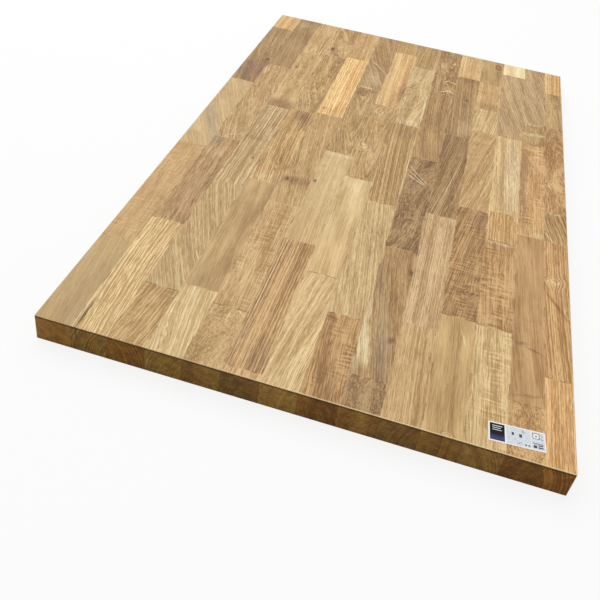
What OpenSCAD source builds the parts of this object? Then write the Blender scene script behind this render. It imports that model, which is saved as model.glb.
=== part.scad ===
// Glued laminated wood panel: rows of solid hardwood blocks, finger jointed end to end and
// glued edge to edge, lying flat with its good face up. X runs across the width, Y along the
// length with the front end at the lower Y, and Z is up from the underside.

/* [Panel] */
// Length of the panel, along the staves
panel_length = 1000; // [400:50:2400]
// Width of the panel, across the staves
panel_width = 600; // [200:10:1200]
// Thickness of the panel
panel_thickness = 36; // [18:1:40]
// Radius of the sanded arris along every edge of the panel
edge_radius = 1.2; // [0.4:0.2:2.4]

/* [Staves] */
// Width of a full stave
stave_width = 44; // [30:1:60]
// Width of the last stave on the right, ripped to bring the panel to its width
last_stave_width = 33; // [15:1:44]

/* [Finger joint] */
// Length of the fingers, along the stave
finger_length = 10; // [4:1:12]
// Wanted distance from one finger to the next, through the thickness
finger_pitch = 4; // [3:0.5:6]
// Width of the flat at a finger's tip
finger_tip = 0.6; // [0.3:0.1:1]
// Height of the plain shoulder above and below the fingers
shoulder_height = 2; // [1:0.5:4]

/* [Label] */
// Length of the paper label, across the panel
label_length = 60; // [40:1:80]
// Height of the paper label, along the panel
label_height = 25; // [16:1:40]
// Thickness of the paper label
label_thickness = 0.15; // [0.1:0.05:0.3]
// From the right edge of the panel to the middle of the label
label_from_right = 62; // [50:1:90]
// From the front end of the panel to the middle of the label
label_from_front = 27; // [26:1:90]
// How far the label is turned from square
label_turn = 4; // [-5:1:5]

/* [Hidden] */
// Steps in the rounding of an arris
arris_steps = 4;
// The least strip of a row, and the least wood between a joint and an end
least_strip = 10;
least_end = 6;

// Wood tones of the blocks
cream = [0.85, 0.76, 0.58];
straw = [0.80, 0.69, 0.47];
golden = [0.80, 0.63, 0.37];
honey = [0.76, 0.60, 0.39];
tan = [0.69, 0.54, 0.37];
orange = [0.77, 0.56, 0.35];
olive = [0.65, 0.54, 0.34];
brown = [0.59, 0.45, 0.31];
dark = [0.48, 0.36, 0.24];
paper = [0.93, 0.93, 0.92];

// The cutting list of a panel 1000 long. Each row is laid from the back end, block by block, as
// [length, tone]. A longer or shorter panel has its blocks in the same order and in proportion.
// Rows after the list start it again.
cutting_list = [
    [[73, golden], [265, brown], [244, straw], [256, honey], [162, olive]],
    [[250, brown], [292, honey], [236, brown], [222, straw]],
    [[165, honey], [241, tan], [255, straw], [241, olive], [98, tan]],
    [[150, tan], [249, olive], [236, tan], [251, brown], [114, straw]],
    [[141, olive], [251, golden], [285, tan], [228, honey], [95, honey]],
    [[258, brown], [249, tan], [243, cream], [240, brown], [10, honey]],
    [[63, tan], [248, golden], [254, tan], [239, golden], [196, honey]],
    [[112, tan], [251, cream], [252, tan], [251, straw], [134, brown]],
    [[210, tan], [250, brown], [250, dark], [243, brown], [47, dark]],
    [[113, cream], [245, brown], [251, dark], [239, honey], [152, honey]],
    [[116, tan], [117, orange], [90, straw], [248, honey], [244, brown], [185, tan]],
    [[56, cream], [266, brown], [241, straw], [75, honey], [179, tan], [183, honey]],
    [[247, tan], [78, tan], [280, orange], [320, tan], [75, brown]],
    [[100, orange], [147, tan], [281, orange], [77, brown], [270, orange], [125, golden]]
];

// Left edge of each row, and the right edge of the last
full_width = panel_width - last_stave_width;
full_rows = floor(full_width / stave_width);
full_edges = [
    for (i = [0 : full_rows])
        if (full_width - i * stave_width > least_strip) i * stave_width
];
row_edges = concat(full_edges, [full_width, panel_width]);
rows = len(row_edges) - 1;

// Fingers fill the thickness between the shoulders
finger_zone = panel_thickness - 2 * shoulder_height;
fingers = max(1, round(finger_zone / finger_pitch));
pitch = finger_zone / fingers;

function row_cuts(r) = cutting_list[r % len(cutting_list)];

function length_up_to(cuts, i) = i < 0 ? 0 : cuts[i][0] + length_up_to(cuts, i - 1);

// Every joint of a row as its distance from the back end. A joint too near an end is left out.
function joints(r) =
    let (cuts = row_cuts(r))
    let (stretch = panel_length / length_up_to(cuts, len(cuts) - 1))
    [
        for (i = [0 : len(cuts) - 2])
            let (j = length_up_to(cuts, i) * stretch)
            if (j > finger_length + least_end && j < panel_length - least_end) j
    ];

// A finger joint seen from the side, from the top face down. The fingers reach towards the back.
function finger_line(j) = concat(
    [[j, panel_thickness]],
    [
        for (k = [0 : fingers - 1])
            let (high = panel_thickness - shoulder_height - k * pitch)
            each [
                [j, high - finger_tip / 2],
                [j - finger_length, high - pitch / 2 + finger_tip / 2],
                [j - finger_length, high - pitch / 2 - finger_tip / 2],
                [j, high - pitch + finger_tip / 2]
            ]
    ],
    [[j, 0]]
);

// A sawn and eased end or side, from the top face down. inward is 1 or -1.
function eased_line(at, inward) = concat(
    [
        for (a = [0 : 90 / arris_steps : 90])
            [at + inward * edge_radius * (1 - sin(a)), panel_thickness - edge_radius * (1 - cos(a))]
    ],
    [
        for (a = [0 : 90 / arris_steps : 90])
            [at + inward * edge_radius * (1 - cos(a)), edge_radius * (1 - sin(a))]
    ]
);

function reversed(list) = [for (i = [len(list) - 1 : -1 : 0]) list[i]];

// One block, drawn in side view from its back end to its front end
module block(r, k) {
    j = joints(r);
    back_line = k == 0 ? eased_line(0, 1) : finger_line(j[k - 1]);
    front_line = k == len(j) ? eased_line(panel_length, -1) : finger_line(j[k]);
    outline = [for (p = concat(back_line, reversed(front_line))) [panel_length / 2 - p[0], p[1]]];
    color(row_cuts(r)[k][1])
        translate([row_edges[r] - panel_width / 2, 0, 0])
            rotate([90, 0, 90])
                linear_extrude(height = row_edges[r + 1] - row_edges[r])
                    polygon(outline);
}

// The panel's own section across the staves, with its eased long sides
module eased_section() {
    rotate([90, 0, 0])
        linear_extrude(height = panel_length + 2, center = true)
            polygon(concat(
                eased_line(-panel_width / 2, 1),
                reversed(eased_line(panel_width / 2, -1))
            ));
}

// Every second block of a row, so that blocks of one node never touch. first is 0 or 1.
module row_blocks(r, first) {
    for (k = [first : 2 : len(joints(r))]) block(r, k);
}

// The panel's outline from above, with its eased corners
module eased_plan() {
    side = panel_width / 2 - edge_radius;
    end = panel_length / 2 - edge_radius;
    corners = [[side, end, 0], [-side, end, 90], [-side, -end, 180], [side, -end, 270]];
    translate([0, 0, -1])
        linear_extrude(height = panel_thickness + 2)
            polygon([
                for (c = corners)
                    for (a = [0 : 90 / arris_steps : 90])
                        [c[0] + edge_radius * cos(c[2] + a), c[1] + edge_radius * sin(c[2] + a)]
            ]);
}

// The outer rows also take the eased long sides and corners
module stave_row(r, first) {
    if (r == 0 || r == rows - 1) {
        intersection() {
            row_blocks(r, first);
            eased_section();
            eased_plan();
        }
    } else {
        row_blocks(r, first);
    }
}

module label() {
    color(paper)
        translate([
            panel_width / 2 - label_from_right,
            label_from_front - panel_length / 2,
            panel_thickness
        ])
            rotate([0, 0, label_turn])
                translate([-label_length / 2, -label_height / 2, 0])
                    cube([label_length, label_height, label_thickness]);
}

function row_name(r, first) = str("row_", r < 9 ? "0" : "", r + 1, first == 0 ? "_odd" : "_even");

for (r = [0 : rows - 1])
    for (first = [0, 1])
        stave_row(r, first);
label();
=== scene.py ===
# %% [markdown]
# # A glued laminated wood panel
# The panel is 14 rows of solid hardwood blocks. The blocks of a row meet end to end in finger
# joints, and the rows are glued edge to edge. The shapes come from the CAD model, which is
# loaded first and never changed, so this lesson is about giving 72 blocks of wood a figure of
# their own. Everything is in metres: X across the panel, Y along it, Z up from the floor.

# %% Load the CAD model
import math
import bmesh
import bpy
from mathutils import Matrix, Vector


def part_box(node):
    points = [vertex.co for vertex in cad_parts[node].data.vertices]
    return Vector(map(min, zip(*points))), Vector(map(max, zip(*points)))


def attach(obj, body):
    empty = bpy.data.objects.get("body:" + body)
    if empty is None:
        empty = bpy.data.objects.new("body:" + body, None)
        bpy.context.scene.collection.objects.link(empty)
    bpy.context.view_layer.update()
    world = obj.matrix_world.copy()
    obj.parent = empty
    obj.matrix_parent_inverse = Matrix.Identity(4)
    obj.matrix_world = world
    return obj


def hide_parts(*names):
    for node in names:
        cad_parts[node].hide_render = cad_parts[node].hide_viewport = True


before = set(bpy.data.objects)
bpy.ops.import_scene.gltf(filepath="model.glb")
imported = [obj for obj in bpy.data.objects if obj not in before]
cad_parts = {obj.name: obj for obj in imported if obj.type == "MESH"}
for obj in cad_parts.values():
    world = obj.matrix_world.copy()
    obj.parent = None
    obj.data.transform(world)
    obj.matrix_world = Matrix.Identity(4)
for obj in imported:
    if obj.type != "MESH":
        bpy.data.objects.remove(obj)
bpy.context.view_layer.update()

MM = 0.001

# %% [markdown]
# ## The camera
# The photograph looks down at the front end of the panel from above its left half. Its four top
# corners and the two lower ones at the front give the camera's place, its turn and its lens.
# The middle of the picture lies a little below the lens's axis, as when a picture is cut out of
# a larger one: the shift says how much.

# %% Camera
lens_data = bpy.data.cameras.new("camera")
lens_data.sensor_width = 36
lens_data.lens = 45.37
lens_data.shift_y = -0.15
lens_data.clip_start = 0.01
camera = bpy.data.objects.new("camera", lens_data)
camera.location = (0.0737, -1.0342, 0.6576)
camera.rotation_euler = [math.radians(a) for a in (54.017, -7.044, 15.081)]
bpy.context.scene.collection.objects.link(camera)
bpy.context.scene.camera = camera
print("camera", tuple(camera.location), "lens", lens_data.lens)

# %% [markdown]
# ## Writing materials as recipes
# A wood finish is a chain of many small shader nodes. Placing each by hand is slow, so a short
# helper writes them: it adds a node, feeds its sockets in order and gives back the output. A
# number stays on the socket, and an output of another node is linked.

# %% Node helpers
class Recipe:
    """A node tree that is written one step at a time."""

    def __init__(self, tree):
        self.tree = tree

    def step(self, kind, *feeds, out=0, **settings):
        node = self.tree.nodes.new(kind)
        for name, value in settings.items():
            setattr(node, name, value)
        for socket, feed in zip([i for i in node.inputs if i.enabled], feeds):
            self.feed(socket, feed)
        return [o for o in node.outputs if o.enabled][out]

    def feed(self, socket, feed):
        if isinstance(feed, bpy.types.NodeSocket):
            self.tree.links.new(feed, socket)
        elif feed is not None:
            socket.default_value = feed

    def sum(self, operation, *values):
        return self.step("ShaderNodeMath", *values, operation=operation)

    def add(self, first, *rest):
        for value in rest:
            first = self.sum("ADD", first, value)
        return first

    def times(self, first, *rest):
        for value in rest:
            first = self.sum("MULTIPLY", first, value)
        return first

    def minus(self, a, b):
        return self.sum("SUBTRACT", a, b)

    def point(self, x=0.0, y=0.0, z=0.0):
        return self.step("ShaderNodeCombineXYZ", x, y, z)

    def parts(self, vector):
        node = self.tree.nodes.new("ShaderNodeSeparateXYZ")
        self.tree.links.new(vector, node.inputs[0])
        return list(node.outputs)

    def ease(self, value, low, high, start=0.0, end=1.0):
        """Smoothly from start, where value is low, to end, where it is high."""
        return self.step("ShaderNodeMapRange", value, low, high, start, end,
                         interpolation_type="SMOOTHSTEP")

    def grain(self, place, detail=2.0, rough=0.5, line=False):
        """Cloudy noise, about 0.5 on average. line takes one number for its place."""
        node = self.tree.nodes.new("ShaderNodeTexNoise")
        node.noise_dimensions = "1D" if line else "3D"
        self.tree.links.new(place, node.inputs["W" if line else "Vector"])
        node.inputs["Scale"].default_value = 1.0
        node.inputs["Detail"].default_value = detail
        node.inputs["Roughness"].default_value = rough
        return node.outputs[0]

    def blend(self, share, a, b, how="MIX"):
        """Colour a, covered by colour b as far as share says."""
        return self.step("ShaderNodeMix", share, a, b, data_type="RGBA", blend_type=how)

    def either(self, share, a, b):
        """Three numbers a where share is 0, and b where it is 1."""
        return self.step("ShaderNodeMix", share, a, b, data_type="VECTOR")


def new_group(name, inputs, outputs):
    """An empty node group, with its recipe, its inputs by name and its output node."""
    tree = bpy.data.node_groups.new(name, "ShaderNodeTree")
    for label, kind in inputs:
        tree.interface.new_socket(label, in_out="INPUT", socket_type="NodeSocket" + kind)
    for label, kind in outputs:
        tree.interface.new_socket(label, in_out="OUTPUT", socket_type="NodeSocket" + kind)
    enter = tree.nodes.new("NodeGroupInput")
    leave = tree.nodes.new("NodeGroupOutput")
    given = {label: enter.outputs[i] for i, (label, _) in enumerate(inputs)}
    return tree, Recipe(tree), given, leave


def use_group(recipe, tree, **feeds):
    """Adds a group to a recipe. A name's underscores stand for the spaces of its sockets."""
    node = recipe.tree.nodes.new("ShaderNodeGroup")
    node.node_tree = tree
    for name, feed in feeds.items():
        recipe.feed(node.inputs[name.replace("_", " ")], feed)
    return node.outputs


def srgb(red, green, blue, shade=1.0):
    """A colour as it is read off a paint card, 0 to 255, made linear for the shader."""
    linear = []
    for value in (red, green, blue):
        value = min(255.0, value * shade) / 255
        linear.append(value / 12.92 if value < 0.04045 else ((value + 0.055) / 1.055) ** 2.4)
    return (*linear, 1.0)


print("recipe steps:", ", ".join(name for name in vars(Recipe) if not name.startswith("_")))

# %% [markdown]
# ## How wood gets its figure
# A board's figure is where its face cuts the growth rings of the tree. So the recipe keeps, for
# every block, where the heart of the tree ran: how far to the side, how deep, and how much the
# trunk leaned against the saw. The distance from that line, divided by the width of a ring, is a
# ring number. The same ring number gives stripes on a quarter-sawn face, arches on a flat-sawn
# one, and arcs on the end grain, and they meet at the edges as real grain does. A picture of
# wood wrapped round the block could not do that.
# On top of the rings come the things that make wood look alive: fine streaks along the fibres,
# pores, a ripple across the grain, and slow clouds of colour. Their sizes below are millimetres:
# 1 / 38 makes a cloud about 38 mm wide.

# %% The figure of a block
MIDDLE_TONE, CONTRAST = 0.55, 1.15
DARKEST, LIGHTEST = -0.35, 1.4
PORE = srgb(105, 72, 38)

FIGURE_INPUTS = [
    ("Across", "Float"), ("Along", "Float"), ("Depth", "Float"), ("Seed", "Float"),
    ("Lean", "Float"), ("Bend", "Float"), ("Tilt", "Float"),
    ("Heart across", "Float"), ("Heart depth", "Float"), ("Ring", "Float"),
    ("Bands", "Float"), ("Lines", "Float"), ("Wave", "Float"),
    ("Ripple", "Float"), ("Pores", "Float"), ("Clouds", "Float"), ("Eyes", "Float"),
    ("End rings", "Float"), ("Light", "Color"), ("Dark", "Color"),
]
figure_group, r, given, leave = new_group(
    "wood_figure", FIGURE_INPUTS, [("Colour", "Color"), ("Height", "Float")])

across, along, depth, seed = (given[k] for k in ("Across", "Along", "Depth", "Seed"))
wander = r.grain(r.point(r.times(across, 1 / 38), r.times(along, 1 / 95),
                         r.add(r.times(depth, 1 / 60), seed)), 2.0)
tremble = r.grain(r.point(r.times(across, 1 / 8), r.times(along, 1 / 26),
                          r.add(r.times(depth, 1 / 12), seed)), 2.0)
hundred = r.times(along, 0.01)
pushed = r.add(across, r.times(given["Wave"], r.minus(wander, 0.5)),
               r.times(r.minus(tremble, 0.5), 1.9))
pushed = r.minus(pushed, r.times(given["Lean"], along))
pushed = r.minus(pushed, r.times(given["Bend"], r.times(hundred, hundred)))
sunk = r.minus(depth, r.times(given["Tilt"], along))

to_heart = r.point(r.minus(pushed, given["Heart across"]), r.minus(sunk, given["Heart depth"]), 0)
radius = r.step("ShaderNodeVectorMath", to_heart, operation="LENGTH", out=0)
ring_number = r.sum("DIVIDE", radius, given["Ring"])
uneven = r.grain(r.add(r.times(ring_number, 0.55), r.times(seed, 7.3)), 1.0, line=True)
ring_number = r.add(ring_number, r.times(r.minus(uneven, 0.5), 2.4))

band = r.grain(r.add(r.times(ring_number, 0.30), r.times(seed, 3.1)), 2.0, 0.6, line=True)
within = r.sum("FRACT", ring_number)
late = r.times(r.ease(within, 0.25, 0.90), r.ease(within, 0.90, 1.0, 1.0, 0.0))
early = r.times(r.ease(within, 0.0, 0.10), r.ease(within, 0.36, 0.14))

# Streaks are noise squeezed across the grain and stretched along it
streak = r.grain(r.point(r.times(pushed, 1 / 1.6), r.times(sunk, 1 / 1.6),
                         r.add(r.times(along, 1 / 95), seed)), 3.0, 0.65)
dash = r.grain(r.point(r.times(pushed, 1 / 0.95), r.times(sunk, 1 / 0.95),
                       r.add(r.times(along, 1 / 17), seed)), 2.0, 0.6)
broken = r.ease(streak, 0.32, 0.58, 0.15, 1.0)
fibre = r.grain(r.point(r.times(pushed, 1 / 0.42), r.times(sunk, 1 / 0.42),
                        r.add(r.times(along, 1 / 7.5), seed)), 1.0, 0.5)
pore = r.ease(fibre, 0.60, 0.72)
fleck = r.ease(fibre, 0.34, 0.24)

# A ripple crosses the grain in patches
ripple = r.grain(r.point(r.times(pushed, 1 / 24), r.times(along, 1 / 2.9),
                         r.add(seed, 4.0)), 2.0, 0.6)
patch = r.grain(r.point(r.times(across, 1 / 34), r.times(along, 1 / 55), r.add(seed, 9.0)), 1.0)
patch = r.ease(patch, 0.36, 0.62)
cloud = r.grain(r.point(r.times(pushed, 1 / 16), r.times(along, 1 / 95),
                        r.add(seed, 2.0)), 2.0)

# Some ends show their rings plainly, and on others the saw has smeared them
facing = r.parts(r.step("ShaderNodeNewGeometry", out=1))
plainly = r.add(1.0, r.times(r.ease(r.sum("ABSOLUTE", facing[1]), 0.8, 0.95),
                             r.minus(given["End rings"], 1.0)))

tone = r.add(
    r.times(r.minus(band, 0.5), given["Bands"], plainly, 2.0),
    r.times(late, broken, given["Lines"], plainly, -0.75),
    r.times(early, broken, given["Lines"], 0.32),
    r.times(r.minus(streak, 0.5), r.add(1.1, r.times(given["Pores"], 0.9))),
    r.times(r.minus(dash, 0.5), given["Pores"], 2.9),
    r.times(r.minus(ripple, 0.5), patch, given["Ripple"], 2.0),
    r.times(r.minus(cloud, 0.5), given["Clouds"], 2.1),
    r.times(fleck, 0.42),
    given["Eyes"],
)
tone = r.add(MIDDLE_TONE, r.times(tone, CONTRAST))
kept_tone = r.sum("MINIMUM", r.sum("MAXIMUM", tone, DARKEST), LIGHTEST)
colour = r.blend(kept_tone, given["Dark"], given["Light"])
colour = r.blend(r.times(pore, given["Pores"], 0.6), colour, PORE)
height = r.minus(r.times(tone, 0.25), r.times(pore, 1.0))
r.feed(leave.inputs[0], colour)
r.feed(leave.inputs[1], height)
print("figure group", len(figure_group.nodes), "nodes")

# %% [markdown]
# ## Knots, stains and pale patches
# A hardwood panel of this grade keeps its small knots, mineral streaks and strips of sapwood.
# Each is a soft-edged patch in a known place: an oval, longer along the grain, with an edge made
# ragged by noise. One group makes the patch, and the block's recipe says what it tints. A knot
# also pushes the grain aside, so the same patch is fed back into the figure.

# %% A mark on the wood
mark_group, r, given, leave = new_group(
    "mark",
    [("Across", "Float"), ("Along", "Float"), ("Depth", "Float"), ("Ragged", "Color"),
     ("Centre", "Vector"), ("Half size", "Vector"), ("Turn", "Float"), ("Soft", "Float"),
     ("Wobble", "Float"), ("Ovals", "Float"), ("Facing", "Float")],
    [("Mask", "Float"), ("Push", "Float"), ("Eye", "Float")])
place = r.point(given["Across"], given["Along"], 0)
shake = r.step("ShaderNodeVectorMath", given["Ragged"], (0.5, 0.5, 0.5), operation="SUBTRACT")
shake = r.step("ShaderNodeVectorMath", shake, operation="SCALE")
r.feed(shake.node.inputs["Scale"], given["Wobble"])
place = r.step("ShaderNodeVectorMath", place, shake, operation="ADD")
place = r.step("ShaderNodeVectorMath", place, given["Centre"], operation="SUBTRACT")
turned = r.step("ShaderNodeVectorRotate", place, rotation_type="Z_AXIS")
r.feed(turned.node.inputs["Angle"], given["Turn"])
flat = r.step("ShaderNodeVectorMath", turned, (1.0, 1.0, 0.0), operation="MULTIPLY")
scaled = r.step("ShaderNodeVectorMath", flat, given["Half size"], operation="DIVIDE")
far = r.step("ShaderNodeVectorMath", scaled, operation="LENGTH", out=0)
mask = r.step("ShaderNodeMapRange", far, r.add(1.0, given["Soft"]), r.minus(1.0, given["Soft"]),
              0.0, 1.0, interpolation_type="SMOOTHSTEP")
# A mark fades with depth, so the underside has a face of its own
mask = r.times(mask, r.ease(given["Depth"], -26.0, -8.0))
push = r.times(r.parts(place)[0], r.ease(far, 2.4, 0.3), -0.62)
# Round a knot the rings stand on end and show as ovals, one inside the other
ovals = r.times(r.sum("SINE", r.times(far, given["Ovals"])), r.ease(far, 2.3, 0.8))
# Facing 1 keeps the ovals' front halves and -1 the back halves, which leaves a row of arches
ahead = r.times(r.parts(scaled)[1], given["Facing"])
whole = r.minus(1.0, r.sum("ABSOLUTE", given["Facing"]))
ovals = r.times(ovals, r.ease(r.add(ahead, whole), 0.0, 0.35))
r.feed(leave.inputs[0], mask)
r.feed(leave.inputs[1], push)
r.feed(leave.inputs[2], ovals)
print("mark group", len(mark_group.nodes), "nodes")

# %% [markdown]
# ## Glue lines, end grain and eased edges
# Where two blocks meet there is a hair-thin line of glue. Along a row's edge it is straight. At
# the end of a block it is straight on the face, and on the long side of the panel it follows the
# fingers in a zigzag, ten millimetres long and four apart. The open pores of end grain swallow
# light, so the ends turn out much darker and browner than the face. The saw leaves them blotchy,
# and a strip under their top edge is darker still. The long sides get a painted shade, and the
# eased arris a painted highlight. Each of these is a mask, and the masks are laid over the colour
# of the figure one after the other.

# %% Joints and ends
FINGER_LENGTH = 10.0
FINGER_PITCH = 4.0
SHOULDER = 2.0
THICKNESS = 36.0
NO_LINE = 50.0  # A distance at which no glue line shows

DARK_NEAR, PALE_NEAR = srgb(120, 86, 50), srgb(226, 194, 146)
DARK_GLUE, PALE_GLUE = srgb(100, 70, 40), srgb(196, 160, 112)
# A dark seam at the row edges of the ends, a darker strip under their top edge, and a painted
# highlight for the arris
END_SEAM, END_TOP_DARK, ARRIS_HIGHLIGHT = srgb(38, 24, 12), srgb(58, 34, 8), srgb(255, 226, 168)
BLOTCH_DARK, BLOTCH_LIGHT = (0.79, 0.77, 0.72, 1), (1.15, 1.16, 1.30, 1)
# Painted shade for the long sides
SIDE_SHADE = (0.72, 0.66, 0.60, 1)

edge_group, r, given, leave = new_group(
    "joints_and_ends",
    [("Colour", "Color"), ("Edge", "Float"), ("Along", "Float"), ("Depth", "Float"),
     ("Start", "Float"), ("End", "Float"), ("End grain", "Color"),
     ("Across", "Float"), ("Seed", "Float")],
    [("Colour", "Color"), ("End share", "Float")])
normal = r.parts(r.step("ShaderNodeNewGeometry", out=1))
side = r.sum("ABSOLUTE", normal[0])
end = r.sum("ABSOLUTE", normal[1])

# The zigzag of the fingers moves the line of a joint along the block
from_shoulder = r.minus(r.times(given["Depth"], -1.0), SHOULDER)
from_shoulder = r.sum("MAXIMUM", from_shoulder, 0.0)
from_shoulder = r.sum("MINIMUM", from_shoulder, THICKNESS - 2 * SHOULDER)
finger = r.sum("PINGPONG", from_shoulder, FINGER_PITCH / 2)
reach = r.times(finger, FINGER_LENGTH / (FINGER_PITCH / 2))
shifted = r.add(given["Along"], reach)
flank = r.ease(side, 0.4, 0.9, 1.0, 0.22)
gap_start = r.times(r.sum("ABSOLUTE", r.minus(shifted, given["Start"])), flank)
gap_end = r.times(r.sum("ABSOLUTE", r.minus(shifted, given["End"])), flank)
gap_block = r.sum("MINIMUM", gap_start, gap_end)
gap_row = r.add(given["Edge"], r.times(side, NO_LINE))
gap = r.sum("MINIMUM", gap_row, gap_block)

# A line is pale in some places and dark in others, and fainter between rows than between blocks
patchy = r.grain(r.point(r.times(given["Edge"], 0.05), r.times(given["Along"], 1 / 30),
                         r.times(given["Depth"], 0.05)), 2.0)
shows = r.sum("MAXIMUM", r.ease(patchy, 0.35, 0.6, 0.75, 0.35), r.times(side, 0.75))
shows = r.times(shows, r.ease(r.minus(gap_row, gap_block), -0.4, 0.4, 0.55, 1.0))
glue = r.times(r.ease(gap, 0.6, 0.15), shows, r.minus(1.0, end))
near = r.times(r.ease(gap, 2.0, 0.2), 0.22)
pale = r.ease(patchy, 0.42, 0.50)
joined = r.blend(near, given["Colour"], r.blend(pale, DARK_NEAR, PALE_NEAR))
line = r.blend(r.times(pale, r.minus(1.0, side)), DARK_GLUE, PALE_GLUE)
joined = r.blend(glue, joined, line)

# End grain: the face's colour multiplied, then blotches, seams and a darker strip at the top
end_share = r.ease(end, 0.86, 0.97)
dark_end = r.blend(1.0, joined, given["End grain"], "MULTIPLY")
blotch = r.grain(r.point(r.times(given["Across"], 1 / 11), r.times(given["Depth"], 1 / 8),
                         r.add(given["Seed"], r.times(given["Along"], 0.02))), 3.0, 0.6)
speck = r.grain(r.point(r.times(given["Across"], 1 / 1.1), r.times(given["Depth"], 1 / 0.9),
                        given["Seed"]), 1.0)
blotch = r.add(blotch, r.times(r.minus(speck, 0.5), 0.35))
blotch = r.blend(r.ease(blotch, 0.36, 0.64), BLOTCH_DARK, BLOTCH_LIGHT)
dark_end = r.blend(1.0, dark_end, blotch, "MULTIPLY")
seam = r.times(r.ease(given["Edge"], 0.45, 0.1), 0.6)
dark_end = r.blend(seam, dark_end, END_SEAM)
# A strip under the top edge of each end is made darker
dark_top_strip = r.times(r.ease(given["Depth"], -4.2, -1.4), 0.75)
dark_end = r.blend(dark_top_strip, dark_end, END_TOP_DARK)

# Painted shade: the colour of the long sides is multiplied darker
shaded_side = r.blend(1.0, joined, SIDE_SHADE, "MULTIPLY")
joined = r.blend(r.ease(side, 0.5, 0.95), joined, shaded_side)
done = r.blend(end_share, joined, dark_end)

# The arris is where the surface turns from the face to an end or a side, and it gets a painted
# highlight there. The seed grows from row to row, so that the left rows get the least of it
steep = r.sum("MAXIMUM", side, end)
highlight_by_row = r.ease(given["Seed"], 5.0, 45.0, 0.25, 1.0)
highlight_mask = r.times(r.ease(steep, 0.10, 0.26), r.ease(steep, 0.88, 0.76),
                 r.ease(side, 0.1, 0.3, 0.95, 0.25), highlight_by_row)
done = r.blend(highlight_mask, done, ARRIS_HIGHLIGHT)
r.feed(leave.inputs[0], done)
r.feed(leave.inputs[1], end_share)
print("joint group", len(edge_group.nodes), "nodes")

# %% [markdown]
# ## The woods and the figures to choose from
# The panel is sorted by eye: pale, golden, brown and orange blocks are mixed so that no area
# looks dull. A tone is a pair of colours, the early wood and the late wood of one ring. A figure
# is the list of numbers that the rings need. The mottled one has a large tilt: its fibres dive
# into the face, and show as short dots. A block then takes one tone, one figure, a shade, and
# the lean of its grain.

# %% Tones and figures
TONES = {
    "cream": ((248, 225, 180), (208, 172, 122)),
    "straw": ((231, 202, 149), (174, 139, 88)),
    "golden": ((240, 200, 141), (190, 146, 90)),
    "honey": ((226, 191, 138), (170, 130, 78)),
    "tan": ((214, 180, 126), (156, 119, 70)),
    "olive": ((216, 188, 136), (158, 127, 78)),
    "pale olive": ((240, 214, 164), (203, 169, 112)),
    "soft olive": ((205, 177, 126), (173, 140, 91)),
    "soft honey": ((216, 180, 127), (182, 143, 91)),
    "orange": ((230, 188, 132), (168, 122, 70)),
    "brown": ((201, 165, 115), (138, 102, 60)),
    "russet": ((206, 166, 113), (142, 101, 58)),
    "greyed": ((224, 190, 143), (162, 127, 83)),
    "mauve": ((198, 162, 112), (138, 102, 62)),
    "dark": ((190, 156, 110), (124, 91, 52)),
}
# Heart across, heart depth, tilt, ring, bands, lines, wave, ripple, pores, clouds
FIGURES = {
    "plain": (62, -50, 0.01, 2.4, 0.25, 0.35, 4, 0.20, 0.8, 0.6),
    "straight": (66, -38, 0.0, 2.2, 0.45, 0.60, 2, 0.15, 0.8, 0.5),
    "bold": (58, -44, 0.01, 3.6, 0.60, 1.00, 4, 0.15, 0.9, 0.5),
    "arched": (3, -13, 0.050, 3.0, 0.35, 0.60, 11, 0.15, 0.8, 0.5),
    "rippled": (60, -45, 0.01, 2.5, 0.3, 0.40, 4, 1.0, 0.7, 0.7),
    "smooth": (95, -15, 0.0, 4.0, 0.18, 0.15, 5, 0.10, 0.35, 0.7),
    "calm": (95, -15, 0.0, 3.2, 0.15, 0.20, 5, 0.10, 0.45, 0.3),
    "slanted": (65, -25, 0.0, 2.8, 0.30, 0.55, 6, 0.15, 0.8, 0.5),
    "lined": (62, -40, 0.0, 2.7, 0.50, 1.00, 2, 0.10, 0.9, 0.5),
    "waved": (60, -45, 0.01, 2.5, 0.35, 0.40, 6, 1.5, 0.8, 0.8),
    "wild": (8, -12, 0.08, 3.2, 0.5, 0.60, 18, 0.50, 0.9, 0.8),
    "combed": (65, -25, 0.0, 2.2, 0.15, 0.60, 6, 0.10, 0.8, 0.3),
    "crossed": (-60, -45, 0.01, 3.4, 0.3, 0.70, 4, 0.45, 0.8, 0.6),
    "steep": (-66, -34, 0.0, 3.2, 0.45, 0.60, 2, 0.15, 0.8, 0.5),
    "mottled": (60, -45, 0.24, 3.0, 0.15, 0.15, 14, 0.30, 0.7, 0.8),
}
print(len(TONES), "tones,", len(FIGURES), "figures")

# %% [markdown]
# ## The cutting list
# The rows are laid from the left, and each row from its back end. Every line below is one block:
# where it ends, its tone, its shade against that tone, its figure, the lean of its grain and how
# much the grain bows. The joints are staggered, as a panel maker does to keep the panel strong.

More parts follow.
